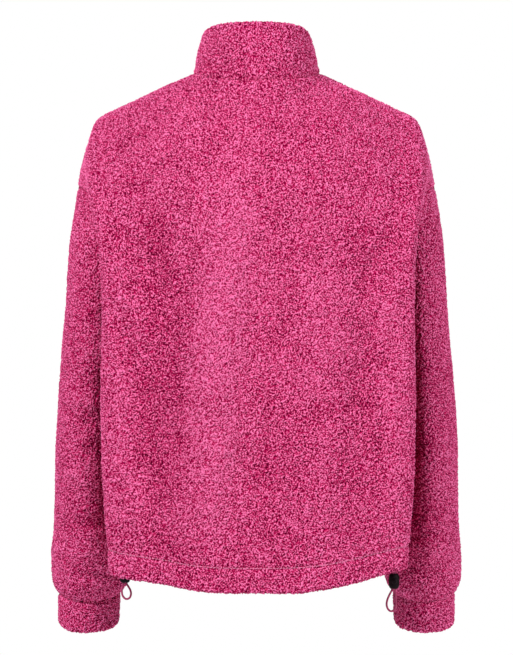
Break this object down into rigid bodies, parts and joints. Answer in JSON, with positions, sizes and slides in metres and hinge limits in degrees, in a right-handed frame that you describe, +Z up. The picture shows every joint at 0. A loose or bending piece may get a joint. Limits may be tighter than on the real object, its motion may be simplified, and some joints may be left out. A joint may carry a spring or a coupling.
{
  "type": "sherpa jacket",
  "caption": "Hollow full-zip jacket of thick curly fleece, as worn: stand collar, dropped-shoulder sleeves, plain turned cuffs and a drawcord with barrel locks in the hem.",
  "frame": {"origin": "the middle of the seam between back and collar, where the wearer's shoulders and nape carry the jacket", "axes": "+Z up, +Y the way the wearer faces (the zip is at +Y and the back at -Y), +X the wearer's right"},
  "size_m": [0.524, 0.2638, 0.7637],
  "materials": {
    "fleece": "curly high-pile sherpa fleece",
    "zip_tape": "woven tape",
    "zip_teeth": "coil teeth, satin",
    "zip_metal": "satin",
    "cord": "braided elastic cord",
    "cord_lock": "moulded, satin"
  },
  "bodies": {
    "jacket": {"back": "fleece", "front_left": "fleece", "front_right": "fleece", "sleeve_left": "fleece", "sleeve_right": "fleece", "cuff_left": "fleece", "cuff_right": "fleece", "collar": "fleece", "zip_tape_left": "zip_tape", "zip_tape_right": "zip_tape", "zip_chain_left": "zip_teeth", "zip_chain_right": "zip_teeth", "zip_slider": "zip_metal", "zip_box": "zip_metal", "cord_left": "cord", "cord_right": "cord", "cord_lock_left": "cord_lock", "cord_lock_right": "cord_lock", "cord_button_left": "cord_lock", "cord_button_right": "cord_lock"},
    "pull_tab": {"zip_pull": "zip_metal"}
  },
  "joints": [
    {"name": "pull_tab_hinge", "type": "hinge", "parent": "jacket", "child": "pull_tab", "pos_m": [0, 0.07004, -0.00191], "axis": [1, 0, 0], "range_deg": [0, 170]}
  ]
}
